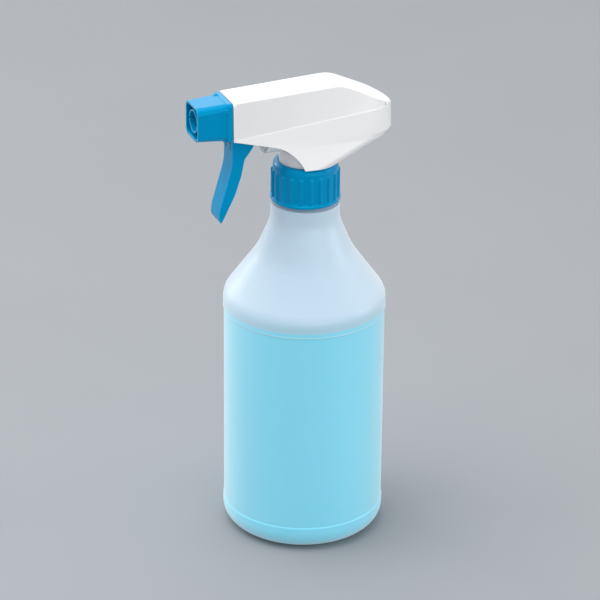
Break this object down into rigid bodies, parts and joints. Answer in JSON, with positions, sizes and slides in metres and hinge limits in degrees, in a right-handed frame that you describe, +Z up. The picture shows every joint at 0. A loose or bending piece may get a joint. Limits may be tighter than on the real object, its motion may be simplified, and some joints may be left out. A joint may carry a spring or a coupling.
{
  "type": "trigger spray bottle",
  "caption": "Translucent cylindrical bottle with a tapered shoulder and a screw-on trigger sprayer: ribbed collar, white shroud, finger trigger and square nozzle.",
  "frame": {"origin": "centre of the bottle's standing ring, on the surface it stands on", "axes": "+X is the way it sprays, +Z is up along the bottle's axis, and Y = 0 is the mirror plane of the outside"},
  "size_m": [0.0951, 0.075, 0.2197],
  "materials": {
    "bottle": "milky translucent blow-moulded polyethylene",
    "liquid": "clear blue cleaning liquid",
    "blue_moulding": "semi-gloss injection-moulded polypropylene",
    "white_moulding": "semi-gloss injection-moulded polypropylene",
    "natural_moulding": "uncoloured polypropylene",
    "washer": "foamed polyethylene",
    "tube": "translucent extruded polyethylene",
    "ball": "polished stainless steel ball",
    "seal": "soft moulded seal",
    "spring": "stainless spring wire"
  },
  "bodies": {
    "bottle": {"bottle": "bottle", "liquid": "liquid"},
    "washer": {"neck_washer": "washer"},
    "sprayer": {"pump_housing": "white_moulding", "shroud": "white_moulding", "tube_retainer": "natural_moulding", "dip_tube": "tube", "return_spring": "spring", "outlet_spring": "spring", "spinner": "natural_moulding"},
    "collar": {"collar": "blue_moulding"},
    "trigger": {"trigger": "blue_moulding"},
    "piston": {"piston": "natural_moulding", "piston_cup": "seal", "vent_ring": "seal"},
    "inlet_ball": {"inlet_ball": "ball"},
    "outlet_valve": {"outlet_valve": "natural_moulding"},
    "nozzle": {"nozzle_cap": "blue_moulding"}
  },
  "joints": [
    {"name": "head_lift_off", "type": "slide", "parent": "bottle", "child": "washer", "axis": [0, 0, 1], "range_m": [0, 0.2]},
    {"name": "thread_rise", "type": "slide", "parent": "washer", "child": "sprayer", "axis": [0, 0, 1], "range_m": [0, 0.00634]},
    {"name": "collar_turn", "type": "hinge", "parent": "sprayer", "child": "collar", "pos_m": [0, 0, 0.1637], "axis": [0, 0, 1], "range_deg": [0, 540]},
    {"name": "trigger_pull", "type": "hinge", "parent": "sprayer", "child": "trigger", "pos_m": [0.0296, 0, 0.2085], "axis": [0, 1, 0], "range_deg": [0, 25]},
    {"name": "piston_stroke", "type": "slide", "parent": "sprayer", "child": "piston", "axis": [-1, 0, 0], "range_m": [0, 0.0054], "stiffness_N_per_m": 1600, "springref_m": -0.005, "deforming": ["return_spring"]},
    {"name": "inlet_lift", "type": "slide", "parent": "sprayer", "child": "inlet_ball", "axis": [0, 0, 1], "range_m": [0, 0.0012]},
    {"name": "outlet_lift", "type": "slide", "parent": "sprayer", "child": "outlet_valve", "axis": [1, 0, 0], "range_m": [0, 0.0008], "stiffness_N_per_m": 100, "springref_m": -0.002, "deforming": ["outlet_spring"]},
    {"name": "nozzle_turn", "type": "hinge", "parent": "sprayer", "child": "nozzle", "pos_m": [0.045, 0, 0.2085], "axis": [1, 0, 0], "continuous": true}
  ],
  "couplings": [
    {"joint": "collar_turn", "follows": "thread_rise", "rad_per_m": 1484.3},
    {"joint": "trigger_pull", "follows": "piston_stroke", "rad_per_m": 80}
  ]
}
